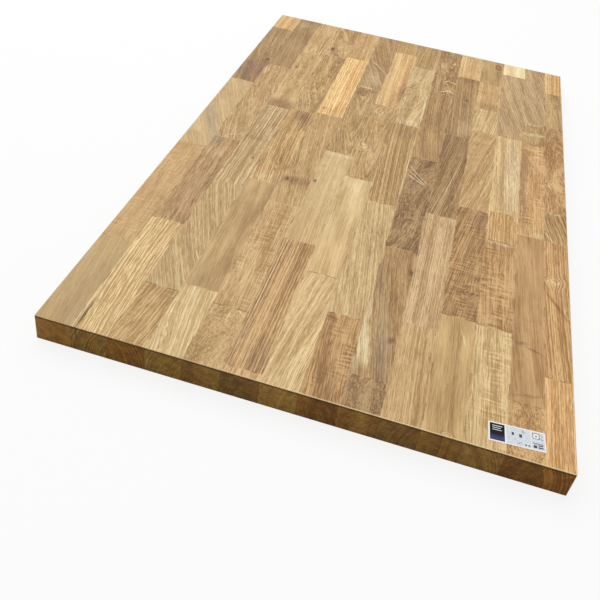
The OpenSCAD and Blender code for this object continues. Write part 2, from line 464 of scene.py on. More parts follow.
# %% Rows of blocks
ROW_EDGES = [44 * i for i in range(13)] + [567, 600]
ROWS = [
    [  # 1
        (73, "golden", 0.98, "straight", 0.00, 0),
        (338, "brown", 0.98, "slanted", 0.10, 1),
        (582, "straw", 0.97, "calm", 0.45, 2),
        (838, "soft honey", 1.00, "rippled", 0.00, 0),
        (1000, "soft olive", 1.01, "calm", 0.12, 1),
    ],
    [  # 2
        (250, "mauve", 0.95, "smooth", 0.10, 0),
        (542, "honey", 0.96, "arched", 0.15, 1),
        (778, "brown", 1.05, "plain", 0.04, 1),
        (1000, "straw", 1.08, "bold", 0.02, 3),
    ],
    [  # 3
        (165, "honey", 1.00, "plain", 0.02, 0),
        (406, "tan", 1.02, "plain", 0.05, 1),
        (661, "straw", 0.97, "bold", 0.00, 0),
        (902, "olive", 1.04, "combed", 0.42, 3),
        (1000, "tan", 1.05, "crossed", -0.10, 0),
    ],
    [  # 4
        (150, "tan", 1.01, "wild", 0.10, 0),
        (399, "tan", 1.03, "arched", 0.05, 2),
        (635, "tan", 1.08, "bold", 0.05, 3),
        (886, "tan", 0.985, "smooth", 0.05, 0),
        (1000, "pale olive", 0.99, "bold", 0.12, 4),
    ],
    [  # 5
        (141, "honey", 1.01, "straight", 0.02, 0),
        (392, "golden", 1.10, "bold", 0.00, 0),
        (677, "tan", 1.01, "slanted", 0.12, 1),
        (905, "honey", 1.00, "rippled", 0.03, 0),
        (1000, "tan", 1.02, "mottled", -0.10, 1),
    ],
    [  # 6
        (258, "brown", 1.01, "slanted", 0.30, 3),
        (507, "tan", 0.99, "arched", 0.08, 1),
        (750, "straw", 1.00, "calm", 0.02, 0),
        (990, "brown", 1.12, "lined", -0.01, 0),
        (1000, "honey", 1.04, "plain", 0.00, 0),
    ],
    [  # 7
        (63, "tan", 1.02, "straight", 0.00, 0),
        (311, "golden", 1.01, "straight", 0.02, 0),
        (565, "tan", 1.01, "arched", 0.02, 2),
        (804, "straw", 1.03, "smooth", 0.03, 0),
        (1000, "straw", 1.05, "slanted", -0.12, 1),
    ],
    [  # 8
        (112, "tan", 0.98, "straight", 0.00, 0),
        (363, "straw", 0.99, "plain", -0.04, 3),
        (615, "tan", 1.01, "lined", 0.05, 1),
        (866, "straw", 1.00, "straight", 0.12, 0),
        (1000, "russet", 1.04, "waved", 0.05, 1),
    ],
    [  # 9
        (210, "brown", 1.02, "wild", 0.05, 0),
        (460, "mauve", 1.03, "straight", 0.06, 3),
        (710, "dark", 1.01, "wild", -0.12, 2),
        (953, "brown", 1.05, "slanted", 0.12, 2),
        (1000, "dark", 1.03, "mottled", 0.00, 0),
    ],
    [  # 10
        (113, "honey", 1.04, "straight", 0.00, 0),
        (358, "mauve", 1.01, "straight", 0.04, 0),
        (609, "dark", 1.03, "straight", -0.12, 0),
        (848, "greyed", 1.04, "straight", 0.00, 0),
        (1000, "honey", 1.00, "straight", 0.03, 0),
    ],
    [  # 11
        (116, "tan", 0.98, "smooth", 0.05, 0),
        (233, "honey", 1.02, "straight", 0.00, 0),
        (323, "straw", 1.03, "straight", -0.10, 0),
        (571, "honey", 0.99, "slanted", -0.20, 0),
        (815, "russet", 1.01, "waved", -0.15, 1),
        (1000, "tan", 1.04, "smooth", 0.03, 0),
    ],
    [  # 12
        (56, "cream", 1.08, "smooth", 0.00, 0),
        (322, "greyed", 0.99, "slanted", 0.20, 1),
        (563, "straw", 1.07, "straight", 0.04, 0),
        (638, "honey", 1.08, "bold", 0.00, 0),
        (817, "orange", 0.965, "waved", 0.04, 0),
        (1000, "straw", 1.05, "rippled", 0.04, 1),
    ],
    [  # 13
        (247, "greyed", 0.99, "slanted", 0.20, 1),
        (325, "tan", 0.99, "plain", 0.00, 0),
        (605, "orange", 1.00, "waved", 0.00, 1),
        (925, "orange", 0.93, "smooth", 0.06, 1),
        (1000, "brown", 1.17, "mottled", 0.05, 0),
    ],
    [  # 14
        (100, "golden", 1.03, "bold", 0.00, 0),
        (247, "tan", 1.00, "plain", 0.04, 0),
        (528, "orange", 0.96, "wild", 0.04, 1),
        (605, "brown", 1.07, "bold", 0.20, 0),
        (875, "orange", 1.01, "lined", 0.04, 1),
        (1000, "orange", 1.10, "steep", 0.00, 0),
    ],
]
print(len(ROWS), "rows,", sum(len(row) for row in ROWS), "blocks")

# %% [markdown]
# ## Where the marks are
# Each line is one mark: its row, its place across the row from 0 to 1, its distance from the
# back end, its half length and half width in millimetres, its turn in degrees, the colour it
# tints with, how strongly, and how soft its edge is. Some marks go on with two more numbers. The
# first says how close the ovals round the mark lie, and without it there are none and the grain
# runs on straight. The second says which way the ovals face: 1 keeps their front halves and -1
# their back halves.

# %% Marks
TINTS = {
    "knot": (92, 56, 34), "bark": (70, 44, 30), "brown stain": (128, 88, 58),
    "mauve stain": (142, 108, 86), "mineral": (168, 148, 124), "sapwood": (242, 216, 166),
    "pale": (232, 200, 150), "amber": (206, 140, 74), "resin": (150, 92, 46),
    "greyed sapwood": (226, 203, 164), "chip": (250, 232, 196), "moss": (186, 166, 124),
    "straw": (214, 186, 142),
}
# row, across, along, half length, half width, turn, tint, strength, soft, ovals, facing
MARKS = [
    (1, 0.84, 233, 7, 5, 0, "knot", 0.50, 0.8, 1.0),
    (1, 0.55, 130, 40, 0.7, 3, "sapwood", 0.50, 0.6),
    (1, 0.48, 125, 36, 0.7, 3, "knot", 0.45, 0.6),
    (1, 0.64, 140, 34, 0.6, 3, "knot", 0.35, 0.6),
    (1, 0.30, 210, 26, 0.9, 16, "sapwood", 0.35, 0.6),
    (1, 0.50, 292, 50, 26, 0, "mauve stain", 0.50, 0.5),
    (1, 0.50, 495, 64, 9, 24, "mineral", 0.50, 0.7),
    (1, 0.80, 965, 60, 14, 0, "mauve stain", 0.20, 0.9),
    (2, 0.40, 30, 16, 10, 0, "pale", 0.30, 0.9),
    (2, 0.62, 340, 95, 1.4, 8, "amber", 0.32, 0.8),
    (2, 0.55, 520, 18, 16, 0, "pale", 0.18, 0.9),
    (2, 0.70, 525, 0.9, 13, 27, "sapwood", 0.60, 0.6),
    (2, 0.72, 528, 0.9, 11, 27, "knot", 0.40, 0.6),
    (2, 0.15, 552, 14, 12, 0, "mineral", 0.55, 0.8),
    (2, 0.45, 586, 14, 12, 0, "pale", 0.35, 0.9),
    (2, 0.60, 705, 66, 17, 0, "mauve stain", 0.24, 0.9),
    (2, 0.13, 978, 24, 1.4, 1, "bark", 0.80, 0.6),
    (2, 0.03, 968, 34, 0.9, 0, "sapwood", 0.85, 0.6),
    (2, 0.22, 950, 30, 1.4, 12, "sapwood", 0.50, 0.8),
    (3, 0.72, 117, 48, 1.0, 0, "brown stain", 0.70, 0.6),
    (3, 0.90, 110, 52, 0.8, 1, "sapwood", 0.55, 0.6),
    (3, 0.78, 152, 14, 0.8, 1, "sapwood", 0.60, 0.6),
    (3, 0.80, 289, 6, 9, 0, "pale", 0.40, 0.8),
    (3, 0.20, 236, 5, 2.5, 0, "knot", 0.70, 0.5, 1.4),
    (3, 0.50, 400, 26, 25, 0, "brown stain", 0.62, 0.5),
    (3, 0.50, 455, 50, 24, 0, "sapwood", 0.22, 0.8),
    *[(3, place, at, at - 408, 0.9, turn, "resin", 0.65, 0.6)  # Nine even stripes
      for place, at, turn in (
          (0.07, 470, 0), (0.18, 462, 0), (0.29, 466, 0), (0.40, 470, 0), (0.51, 462, 0),
          (0.61, 470, 0), (0.72, 466, -1), (0.83, 462, -2), (0.93, 458, -2))],
    (3, 0.50, 522, 5, 24, 0, "brown stain", 0.30, 0.9),
    (3, 0.75, 580, 3, 1.6, 0, "knot", 0.80, 0.5, 1.4),
    (4, 0.20, 118, 7, 3.4, 0, "knot", 0.85, 0.5, 1.4),
    (4, 0.75, 91, 18, 3.0, -43, "pale", 0.60, 0.7),
    (4, 0.78, 124, 14, 3.0, -45, "pale", 0.35, 0.8),
    (4, 0.93, 162, 11, 3.0, 0, "mauve stain", 0.40, 0.8),
    (4, 0.75, 190, 44, 8, 0, "brown stain", 0.25, 0.8, 2.2),
    (4, 0.40, 320, 46, 13, 0, "brown stain", 0.10, 0.9, 2.2, 1),
    (4, 0.50, 370, 28, 14, 0, "moss", 0.15, 0.9),
    (4, 0.50, 390, 11, 12, 30, "pale", 0.25, 0.9),
    (4, 0.65, 422, 30, 16, 12, "brown stain", 0.55, 0.8),
    (4, 0.65, 572, 20, 4, 0, "brown stain", 0.35, 0.8, 1.4),
    (4, 0.50, 622, 14, 24, 0, "sapwood", 0.25, 0.9),
    (4, 0.30, 965, 26, 5, 10, "sapwood", 0.22, 0.8, 1.0),
    (5, 0.50, 375, 16, 26, 0, "amber", 0.22, 0.9),
    (5, 0.16, 370, 3.5, 3.5, 0, "brown stain", 0.50, 0.7, 1.4),
    (5, 0.46, 377, 10, 1.1, 6, "brown stain", 0.60, 0.7),
    (5, 0.38, 370, 1.1, 7, -28, "brown stain", 0.50, 0.7),
    (5, 0.62, 373, 3, 3, 0, "amber", 0.50, 0.8, 1.4),
    (5, 0.45, 613, 10, 24, 5, "brown stain", 0.50, 0.7),
    (5, 0.20, 612, 5, 3, 0, "knot", 0.80, 0.6, 1.4),
    (5, 0.56, 917, 12, 0.9, -5, "sapwood", 0.55, 0.6),
    (5, 0.84, 910, 0.9, 8, -40, "sapwood", 0.55, 0.6),
    (6, 0.42, 156, 21, 1.0, 36, "bark", 0.70, 0.7),
    (6, 0.50, 151, 20, 0.9, 36, "sapwood", 0.50, 0.6),
    (6, 0.55, 214, 36, 20, 0, "straw", 0.42, 0.9),
    (6, 0.50, 255, 4, 22, -5, "pale", 0.40, 0.8),
    (6, 0.60, 222, 12, 7, 0, "moss", 0.45, 0.9),
    (6, 0.50, 267, 6, 22, 0, "brown stain", 0.40, 0.8),
    (6, 0.30, 282, 8, 7, 0, "knot", 0.40, 0.9),
    (6, 0.40, 284, 10, 8, 0, "brown stain", 0.30, 0.9, 0.6),
    (6, 0.50, 512, 5, 22, 0, "sapwood", 0.45, 0.8),
    (6, 0.50, 720, 44, 24, 0, "amber", 0.12, 0.9),
    (6, 0.10, 600, 4, 2.5, 0, "knot", 0.70, 0.6, 1.4),
    (6, 0.75, 965, 26, 14, 0, "mauve stain", 0.30, 0.8),
    (6, 0.08, 868, 114, 0.7, 0, "knot", 0.50, 0.6),
    (6, 0.17, 862, 104, 0.6, 0, "knot", 0.45, 0.6),
    (6, 0.27, 850, 92, 0.6, 0, "knot", 0.30, 0.6),
    (6, 0.12, 866, 110, 0.7, 0, "sapwood", 0.40, 0.6),
    (7, 0.95, 232, 20, 0.9, -6, "bark", 0.90, 0.5),
    (7, 0.85, 256, 52, 9, -6, "brown stain", 0.32, 0.9),
    (7, 0.88, 185, 115, 5, 0, "brown stain", 0.32, 0.8),
    (7, 0.20, 190, 115, 9, 0, "sapwood", 0.22, 0.8),
    (7, 0.30, 388, 14, 8, 0, "amber", 0.25, 0.9),
    (7, 0.30, 338, 9, 8, 0, "pale", 0.45, 0.8, 1.5, 1),
    (7, 0.20, 465, 12, 9, 0, "pale", 0.50, 0.8, 1.8, 1),
    (7, 0.50, 584, 20, 24, 0, "sapwood", 0.35, 0.7),
    (7, 0.60, 760, 48, 22, 0, "amber", 0.14, 0.9),
    (8, 0.22, 57, 48, 0.8, -5, "sapwood", 0.50, 0.6),
    (8, 0.50, 352, 12, 24, 0, "sapwood", 0.35, 0.7),
    (8, 0.96, 300, 66, 1.6, 0, "sapwood", 0.80, 0.6),
    (8, 0.97, 500, 120, 0.9, 0, "sapwood", 0.70, 0.6),
    (8, 0.22, 206, 15, 1.0, -27, "brown stain", 0.70, 0.6),
    (8, 0.30, 262, 40, 24, 12, "pale", 0.12, 0.9, 3.0, -1),
    (8, 0.50, 384, 24, 24, 0, "brown stain", 0.28, 0.9),
    (9, 0.25, 77, 8, 5, 0, "pale", 0.45, 0.8),
    (9, 0.50, 100, 9, 0.8, 0, "sapwood", 0.50, 0.6),
    (9, 0.75, 60, 5, 6, 0, "pale", 0.45, 0.8, 1.5, 1),
    (9, 0.61, 148, 8, 1.6, -32, "sapwood", 0.95, 0.6),
    (9, 0.90, 151, 1.7, 7, -27, "sapwood", 0.95, 0.6),
    (9, 0.62, 194, 10, 1.7, -45, "sapwood", 0.95, 0.6),
    (9, 0.90, 193, 8, 1.7, 48, "sapwood", 0.95, 0.6),
    (9, 0.78, 207, 4, 7, 0, "brown stain", 0.40, 0.8),
    (9, 0.93, 245, 27, 0.9, -2, "sapwood", 0.50, 0.6),
    (9, 0.87, 277, 36, 0.8, -2, "knot", 0.45, 0.6),
    (9, 0.35, 543, 10, 11, 0, "mauve stain", 0.40, 0.9),
    (9, 0.43, 513, 25, 0.8, 38, "sapwood", 0.60, 0.6),
    (9, 0.41, 522, 22, 0.9, 42, "sapwood", 0.75, 0.6),
    (9, 0.40, 529, 18, 0.9, 52, "sapwood", 0.75, 0.6),
    (9, 0.42, 518, 23, 0.8, 40, "knot", 0.45, 0.6),
    (9, 0.40, 526, 20, 0.8, 47, "knot", 0.50, 0.6),
    (9, 0.38, 534, 16, 0.9, 58, "knot", 0.45, 0.6),
    (9, 0.47, 850, 92, 7, 11, "moss", 0.38, 0.8),
    (9, 0.12, 775, 42, 2.2, 9, "knot", 0.45, 0.8),
    (9, 0.62, 915, 40, 10, 6, "mineral", 0.30, 0.9),
    (9, 0.04, 852, 66, 4.2, 4, "sapwood", 0.62, 0.4),
    (9, 0.15, 898, 38, 7.0, 9, "sapwood", 0.62, 0.35),
    (9, 0.28, 915, 22, 2.6, 12, "sapwood", 0.50, 0.5),
    (9, 0.09, 938, 18, 3.0, 3, "greyed sapwood", 0.50, 0.6),
    (9, 0.95, 755, 6, 3, 0, "knot", 0.70, 0.7, 1.4),
    (9, 0.85, 885, 5, 3, 0, "knot", 0.70, 0.7, 1.4),
    (10, 0.50, 121, 9, 24, 0, "brown stain", 0.35, 0.9),
    (10, 0.72, 250, 60, 7, 0, "pale", 0.18, 0.9),
    (10, 0.60, 213, 4, 2, 0, "knot", 0.90, 0.5, 1.4),
    (10, 0.70, 330, 32, 9, 0, "pale", 0.45, 0.7),
    (10, 0.54, 522, 86, 0.8, -9, "sapwood", 0.45, 0.6),
    (10, 0.30, 560, 46, 0.7, -10, "sapwood", 0.35, 0.6),
    (10, 0.92, 402, 40, 3.0, 0, "brown stain", 0.50, 0.8),
    (10, 0.48, 704, 1.8, 0.9, 0, "chip", 0.55, 0.6),
    (11, 0.75, 28, 11, 6, 0, "resin", 0.55, 0.8, 0.8),
    (11, 0.69, 453, 60, 0.8, -12.6, "resin", 0.40, 0.6),
    (11, 0.66, 518, 50, 0.9, -7, "resin", 0.40, 0.6),
    (11, 0.50, 219, 14, 24, 0, "brown stain", 0.35, 0.8),
    (11, 0.80, 592, 22, 12, 0, "mauve stain", 0.45, 0.8),
    (11, 0.14, 728, 38, 1.4, -4.7, "resin", 0.50, 0.6),
    (11, 0.45, 731, 4, 5, 0, "brown stain", 0.45, 0.8),
    (11, 0.90, 731, 4, 5, 0, "brown stain", 0.55, 0.8),
    (11, 0.70, 745, 2.2, 11, 6, "pale", 0.40, 0.8),
    (11, 0.72, 764, 6, 9, 0, "brown stain", 0.40, 0.8, 1.6),
    (11, 0.78, 797, 19, 9, 0, "brown stain", 0.42, 0.8),
    (11, 0.70, 848, 14, 0.9, 16, "sapwood", 0.60, 0.7),
    (11, 0.62, 997, 3, 4.5, 0, "pale", 0.50, 0.8, 1.2),
    (12, 0.77, 111, 39, 0.8, 20, "sapwood", 0.42, 0.6),
    (12, 0.56, 210, 41, 0.8, 25, "sapwood", 0.38, 0.6),
    (12, 0.70, 280, 19, 0.8, 24, "sapwood", 0.38, 0.6),
    (12, 0.18, 440, 110, 0.9, 0, "sapwood", 0.45, 0.6),
    (12, 0.38, 450, 100, 1.6, 0, "mineral", 0.40, 0.9),
    (12, 0.72, 442, 118, 11, 0, "greyed sapwood", 0.50, 0.45),
    (12, 0.50, 636.5, 1.0, 22, 0, "bark", 0.60, 0.6),
    (12, 0.30, 450, 90, 1.0, 2, "resin", 0.40, 0.7),
    (12, 0.50, 641, 3, 24, 0, "sapwood", 0.50, 0.7),
    (13, 0.69, 122, 64, 0.8, 12, "sapwood", 0.42, 0.6),
    (13, 0.20, 450, 115, 8, 0, "straw", 0.35, 0.8),
    (13, 0.80, 597, 6, 8, 0, "sapwood", 0.40, 0.8),
    (13, 0.50, 289, 5, 18, 12, "sapwood", 0.55, 0.8, 1.4),
    (13, 0.40, 251, 4, 14, 8, "sapwood", 0.50, 0.8),
    (13, 0.28, 830, 3.0, 7, 5, "knot", 0.40, 0.8),
    (13, 0.70, 838, 2.2, 9, -20, "knot", 0.45, 0.8),
    (13, 0.60, 911, 1.6, 18, 14, "resin", 0.42, 0.7),
    (14, 0.20, 50, 48, 4, 0, "sapwood", 0.40, 0.9),
    (14, 0.85, 60, 45, 4, 0, "amber", 0.40, 0.9),
    (14, 0.50, 288, 42, 15, 0, "brown stain", 0.28, 0.9),
    (14, 0.40, 450, 11, 12, 0, "pale", 0.40, 0.8, 1.5, -1),
    (14, 0.50, 529, 3, 14, 8, "sapwood", 0.50, 0.7),
    (14, 0.26, 598, 18, 1.2, 31, "sapwood", 0.50, 0.6),
    (14, 0.40, 695, 7, 10, 20, "pale", 0.40, 0.8, 1.5, -1),
    (14, 0.45, 742, 26, 2.2, 30, "resin", 0.65, 0.8),
]
print(len(MARKS), "marks")

# %% [markdown]
# ## One material for each CAD node
# Every second block of a row is one CAD node, so a node holds up to three blocks that don't
# touch. Its material has to know which block it is on. The distance from the back end tells it:
# a mix switches from one block's numbers to the next halfway along the gap between them, where
# this node has no wood.

# %% Numbers of a block
BEYOND_BACK, BEYOND_FRONT = -200, 1200  # Off the panel, so no glue line shows at its ends


def switch(recipe, along, cuts, values):
    """The value of the block that this point is in. Values are colours or three numbers."""
    chosen = values[0]
    for cut, value in zip(cuts, values[1:]):
        past = recipe.sum("GREATER_THAN", along, cut)
        if len(value) == 4:
            chosen = recipe.blend(past, chosen, value)
        else:
            chosen = recipe.either(past, chosen, value)
    return chosen


def block_values(row, k):
    """All the numbers of one block, in threes, and its two colours."""
    ends = [0] + [line[0] for line in ROWS[row]]
    _, tone, shade, figure, lean, bend = ROWS[row][k]
    heart_across, heart_depth, tilt, ring, bands, lines, wave, ripple, pores, clouds = (
        FIGURES[figure])
    flip = 1 if (row + 2 * k) % 3 else -1
    ahead = 1 if (row + k) % 2 else -1
    return {
        "place": ((ends[k] + ends[k + 1]) / 2, ends[k] or BEYOND_BACK,
                  ends[k + 1] if k < len(ROWS[row]) - 1 else BEYOND_FRONT),
        "turn": (lean, bend, tilt * ahead),
        "heart": (heart_across * flip, heart_depth, ring * (0.9 + 0.05 * ((3 * row + k) % 5))),
        "rings": (bands, lines, wave),
        "touches": (ripple, pores, clouds),
        "seed": (7.7 * row + 2.9 * k + 1.3, 0, 0),
        "light": srgb(*TONES[tone][0], shade),
        "dark": srgb(*TONES[tone][1], shade),
    }


print("first block", block_values(0, 0)["place"])

# %% [markdown]
# The front end shows all 14 rows side by side. End grain multiplies the colour of the face by a
# dark tint, and on the real panel some ends show their rings plainly while others are smeared.

# %% Ends of the rows
END_TINTS = {
    "even": (0.46, 0.345, 0.108),
    "warm": (0.46, 0.320, 0.098),
    "olive": (0.45, 0.355, 0.116),
    "greyed": (0.46, 0.350, 0.132),
    "red": (0.46, 0.325, 0.075),
}
ENDS = [  # shade, tint, how plain the rings are
    (1.19, "warm", 0.6), (0.81, "olive", 1.5), (0.99, "red", 3.6), (0.84, "even", 1.4),
    (0.98, "olive", 1.2), (0.61, "olive", 1.2), (0.93, "greyed", 0.7), (0.99, "even", 1.6),
    (1.49, "olive", 1.2), (0.79, "greyed", 1.4), (0.91, "even", 1.3), (0.87, "greyed", 1.6),
    (0.68, "red", 2.6), (0.80, "red", 2.8),
]
print(len(ENDS), "row ends")

# %% [markdown]
# A mark tints both tones of the wood under it, a little lighter and a little darker, so the
# figure goes on inside the mark. A mark with ovals also bends the grain, and adds its rings.

# %% Marks of a row
MARK_LIGHT, MARK_DARK = 1.1, 0.82
OVAL_STRENGTH = 0.36


def lay_marks(r, row, spans, place, light, dark):
    """The two tones with the row's marks on them, the bent grain, and the ovals if any."""
    across, along, depth = place
    ragged = r.step("ShaderNodeTexNoise", out=1)
    r.feed(ragged.node.inputs["Vector"],
           r.point(r.times(across, 1 / 7), r.times(along, 1 / 13), row * 3.0))
    ragged.node.inputs["Scale"].default_value = 1.0
    ragged.node.inputs["Detail"].default_value = 3.0
    width = ROW_EDGES[row + 1] - ROW_EDGES[row]
    bent, eyes = across, None
    for line in MARKS:
        # A line that ends early has no ovals, or whole ones
        mark_row, part, at, length, half, turn, tint, strength, soft, ovals, facing = (
            (*line, 0, 0)[:11])
        if mark_row != row + 1 or not any(a <= at <= b for a, b in spans):
            continue
        mask, push, rings = use_group(
            r, mark_group, Across=across, Along=along, Depth=depth, Ragged=ragged,
            Centre=((part - 0.5) * width, at, 0), Half_size=(half, length, 1),
            Turn=math.radians(turn), Soft=soft, Wobble=min(9.0, 1.2 * half + 0.7),
            Ovals=ovals * 2 * math.pi, Facing=facing)
        cover = r.times(mask, strength)
        light = r.blend(cover, light, srgb(*TINTS[tint], MARK_LIGHT))
        dark = r.blend(cover, dark, srgb(*TINTS[tint], MARK_DARK))
        if ovals:
            bent = r.add(bent, push)
            oval = r.times(rings, OVAL_STRENGTH * min(1.0, 2 * strength))
            eyes = r.add(eyes, oval) if eyes else oval
    return light, dark, bent, eyes


print("marks with ovals", sum(1 for line in MARKS if len(line) > 9))

# %% [markdown]
# The recipe of a row puts the groups together: where the point is, the numbers of its block, the
# marks, the figure, and last the joints and the end. The same height that shades the figure
# also makes the surface a little rough and raised, since pores are hollow and dull.

# %% Wood of a row
BUMP_DEPTH = 0.12 * MM


def stave_wood(row, first):
    """The material of every second block of a row. first is 0 for odd blocks, 1 for even."""
    name = "row_%02d_%s" % (row + 1, ("odd", "even")[first])
    material = bpy.data.materials.new(name + "_wood")
    material.use_nodes = True
    r = Recipe(material.node_tree)
    shader = next(n for n in material.node_tree.nodes if n.type == "BSDF_PRINCIPLED")
    x, y, z = r.parts(r.step("ShaderNodeTexCoord", out=3))
    middle_x = (ROW_EDGES[row] + ROW_EDGES[row + 1]) / 2 - ROW_EDGES[-1] / 2
    across = r.minus(r.times(x, 1 / MM), middle_x)
    along = r.minus(ROWS[row][-1][0] / 2, r.times(y, 1 / MM))
    depth = r.minus(r.times(z, 1 / MM), THICKNESS)
    values = [block_values(row, k) for k in range(first, len(ROWS[row]), 2)]
    cuts = [(a["place"][2] + b["place"][1]) / 2 for a, b in zip(values, values[1:])]
    pick = {key: switch(r, along, cuts, [v[key] for v in values]) for key in values[0]}
    threes = {key: r.parts(pick[key]) if len(values) > 1 else list(values[0][key])
              for key in ("place", "turn", "heart", "rings", "touches", "seed")}
    middle, start, end = threes["place"]
    lean, bend, tilt = threes["turn"]
    heart_across, heart_depth, ring = threes["heart"]
    bands, lines, wave = threes["rings"]
    ripple, pores, clouds = threes["touches"]

    spans = [v["place"][1:] for v in values]
    light, dark, bent, eyes = lay_marks(
        r, row, spans, (across, along, depth), pick["light"], pick["dark"])
    end_shade, end_tint, end_rings = ENDS[row]
    colour, height = use_group(
        r, figure_group, Across=bent, Along=r.minus(along, middle), Depth=depth,
        Seed=threes["seed"][0], Lean=lean, Bend=bend, Tilt=tilt,
        Heart_across=heart_across, Heart_depth=heart_depth, Ring=ring,
        Bands=bands, Lines=lines, Wave=wave, Ripple=ripple, Pores=pores, Clouds=clouds,
        Eyes=eyes, End_rings=end_rings, Light=light, Dark=dark)

    # The outer rows have no glue line on the outside of the panel
    edge = r.minus((ROW_EDGES[row + 1] - ROW_EDGES[row]) / 2, r.sum("ABSOLUTE", across))
    if row == 0:
        edge = r.add(edge, r.times(r.sum("LESS_THAN", across, 0.0), NO_LINE))
    if row == len(ROWS) - 1:
        edge = r.add(edge, r.times(r.sum("GREATER_THAN", across, 0.0), NO_LINE))
    colour, end_share = use_group(
        r, edge_group, Colour=colour, Edge=edge, Along=along, Depth=depth,
        Start=start, End=end, Across=across, Seed=5.0 * row,
        End_grain=(*(end_shade * part for part in END_TINTS[end_tint]), 1))
    r.feed(shader.inputs["Base Color"], colour)
    rough = r.ease(height, -0.9, 0.3, 0.72, 0.54)
    r.feed(shader.inputs["Roughness"], r.add(rough, r.times(end_share, 0.2)))
    shader.inputs["Specular IOR Level"].default_value = 0.32
    bump = r.tree.nodes.new("ShaderNodeBump")
    bump.inputs["Strength"].default_value = 0.25
    bump.inputs["Distance"].default_value = BUMP_DEPTH
    r.feed(bump.inputs["Height"], height)
    r.feed(shader.inputs["Normal"], bump.outputs[0])
    return name, material


for row in range(len(ROWS)):
    for first in (0, 1):
        node_name, wood = stave_wood(row, first)
        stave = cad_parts[node_name]
        if not stave.material_slots:
            stave.data.materials.append(wood)
        for slot in stave.material_slots:
            slot.material = wood
print(len(bpy.data.materials), "materials")

# %% [markdown]
# ## The paper label
# A paper label is stuck on the face near the front right corner. It is a flat sheet with
# slightly rounded corners, printed in blocks: a dark panel on the left, rows of fine print in
# the middle and small boxes on the right. The print is left generic. The sheet is one mesh. Its
# faces are cut along the edges of the printed blocks, so each block gets its own ink.

# %% The label's sheet
LABEL_SIZE = (60.0, 25.0)
LABEL_MIDDLE = (0.238, -0.473)
LABEL_TURN = math.radians(4)
label_low, label_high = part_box("label")
print("label from", tuple(label_low), "to", tuple(label_high))

# %% [markdown]
# Each printed block is a rectangle on the label, measured from its left front corner.

# %% Printed blocks
PRINT = [  # left, front, right, back, ink
    (1.6, 1.5, 17.3, 23.5, "dark"),
    (4.4, 20.0, 14.8, 20.8, "plain"),
    (4.4, 17.4, 13.2, 18.1, "plain"),
    (4.4, 14.8, 14.2, 15.5, "plain"),
    (18.9, 1.6, 44.6, 23.4, "fine"),
    (24.6, 13.2, 27.0, 17.0, "ink"),
    (32.4, 12.2, 35.4, 16.4, "ink"),
    (45.4, 13.2, 58.8, 23.4, "fine"),
    (45.4, 1.6, 58.8, 12.4, "box"),
    (46.6, 14.8, 53.8, 22.4, "ink"),
    (47.3, 15.5, 53.1, 21.7, "plain"),
    (49.4, 17.4, 51.0, 19.4, "ink"),
    (55.0, 14.4, 56.4, 22.4, "bars"),
    (47.0, 3.0, 50.6, 6.6, "ink"),
    (52.2, 3.4, 57.2, 5.0, "ink"),
    (52.2, 6.4, 57.2, 7.6, "ink"),
    (47.0, 8.4, 57.2, 9.4, "ink"),
    (38.2, 3.0, 40.0, 4.8, "ink"),
    (41.6, 3.0, 43.4, 4.8, "ink"),
]
INKS = ["plain", "dark", "fine", "box", "bars", "ink"]
print(len(PRINT), "printed blocks")

# %% [markdown]
# The sheet starts as a grid of one face. Its corners are bevelled, and a cut along every edge of
# the print leaves faces that each lie in one block only.

# %% The printed sheet
CORNER_RADIUS = 1.1 * MM


def ink_at(x, y):
    """The last printed block that covers this place."""
    found = "plain"
    for left, front, right, back, ink in PRINT:
        if left < x < right and front < y < back:
            found = ink
    return INKS.index(found)


sheet = bmesh.new()
bmesh.ops.create_grid(sheet, x_segments=1, y_segments=1, size=0.5)
bmesh.ops.scale(sheet, vec=(LABEL_SIZE[0] * MM, LABEL_SIZE[1] * MM, 1), verts=sheet.verts)
bmesh.ops.translate(sheet, vec=(LABEL_SIZE[0] * MM / 2, LABEL_SIZE[1] * MM / 2, 0),
                    verts=sheet.verts)
bmesh.ops.bevel(sheet, geom=sheet.verts[:], affect="VERTICES", offset=CORNER_RADIUS,
                segments=4, profile=0.5, material=-1)
for left, front, right, back, _ in PRINT:
    for spot, direction in (((left, 0, 0), (1, 0, 0)), ((right, 0, 0), (1, 0, 0)),
                            ((0, front, 0), (0, 1, 0)), ((0, back, 0), (0, 1, 0))):
        bmesh.ops.bisect_plane(
            sheet, geom=sheet.verts[:] + sheet.edges[:] + sheet.faces[:], dist=1e-7,
            plane_co=Vector(spot) * MM, plane_no=direction)
for face in sheet.faces:
    middle = face.calc_center_median() / MM
    face.material_index = ink_at(middle.x, middle.y)
print("label sheet", len(sheet.faces), "faces")

# %% [markdown]
# The sheet gets its thickness by an extrusion downwards, and is then turned into its place on
# the panel, so that the object itself stays at the origin.

# %% Label thickness and place
FACING_UP = 0.5
thick = label_high[2] - label_low[2]
bottom = bmesh.ops.extrude_face_region(sheet, geom=sheet.faces[:], use_keep_orig=True)
lowered = [g for g in bottom["geom"] if isinstance(g, bmesh.types.BMVert)]
bmesh.ops.translate(sheet, vec=(0, 0, -thick), verts=lowered)
bmesh.ops.recalc_face_normals(sheet, faces=sheet.faces[:])
for face in sheet.faces:
    if face.normal.z < FACING_UP:
        face.material_index = INKS.index("plain")
to_middle = Matrix.Translation((-LABEL_SIZE[0] * MM / 2, -LABEL_SIZE[1] * MM / 2, 0))
to_place = Matrix.Translation((*LABEL_MIDDLE, label_high[2]))
bmesh.ops.transform(sheet, matrix=to_place @ Matrix.Rotation(LABEL_TURN, 4, "Z") @ to_middle,
                    verts=sheet.verts)
label_mesh = bpy.data.meshes.new("paper_label")
sheet.to_mesh(label_mesh)
sheet.free()
paper_label = bpy.data.objects.new("paper_label", label_mesh)
